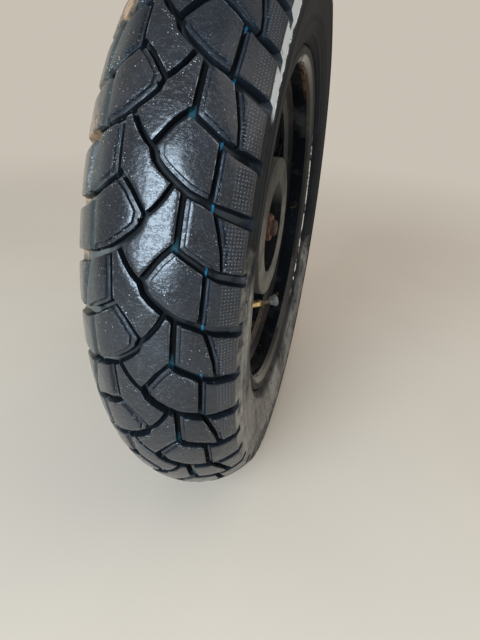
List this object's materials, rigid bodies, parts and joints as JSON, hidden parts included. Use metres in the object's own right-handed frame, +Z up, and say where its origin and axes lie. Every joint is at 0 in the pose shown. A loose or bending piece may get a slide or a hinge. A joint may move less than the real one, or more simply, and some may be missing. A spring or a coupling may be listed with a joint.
{
  "type": "motor scooter rear wheel with stub axle",
  "caption": "Rear wheel of a motor scooter: block-tread tyre on a gloss black spoked casting with a drum brake liner, a bent valve and bearings, on a stub axle with its nut.",
  "frame": {"origin": "on the axle, where its collar seats on the vehicle, 60 mm to the left of the wheel's centre plane", "axes": "+X forward, +Y along the axle to the vehicle's left, +Z up"},
  "size_m": [0.5079, 0.1512, 0.508],
  "materials": {
    "tyre": "satin, worn",
    "casting": "gloss black, dusty",
    "liner": "turned",
    "bearing": "satin",
    "axle": "satin",
    "nut": "rusty",
    "grommet": "matt",
    "valve": "satin",
    "cap": "dusty"
  },
  "bodies": {
    "axle": {"axle": "axle", "bearing_inner_right": "bearing", "bearing_inner_left": "bearing", "bearing_spacer": "axle", "axle_washer": "nut", "axle_nut": "nut"},
    "wheel": {"tyre": "tyre", "wheel_casting": "casting", "brake_drum_liner": "liner", "bearing_outer_right": "bearing", "bearing_outer_left": "bearing", "valve_grommet": "grommet", "valve_stem": "valve", "valve_cap": "cap"}
  },
  "joints": [
    {"name": "wheel_spin", "type": "hinge", "parent": "axle", "child": "wheel", "pos_m": [0, -0.06, 0], "axis": [0, 1, 0], "continuous": true}
  ]
}
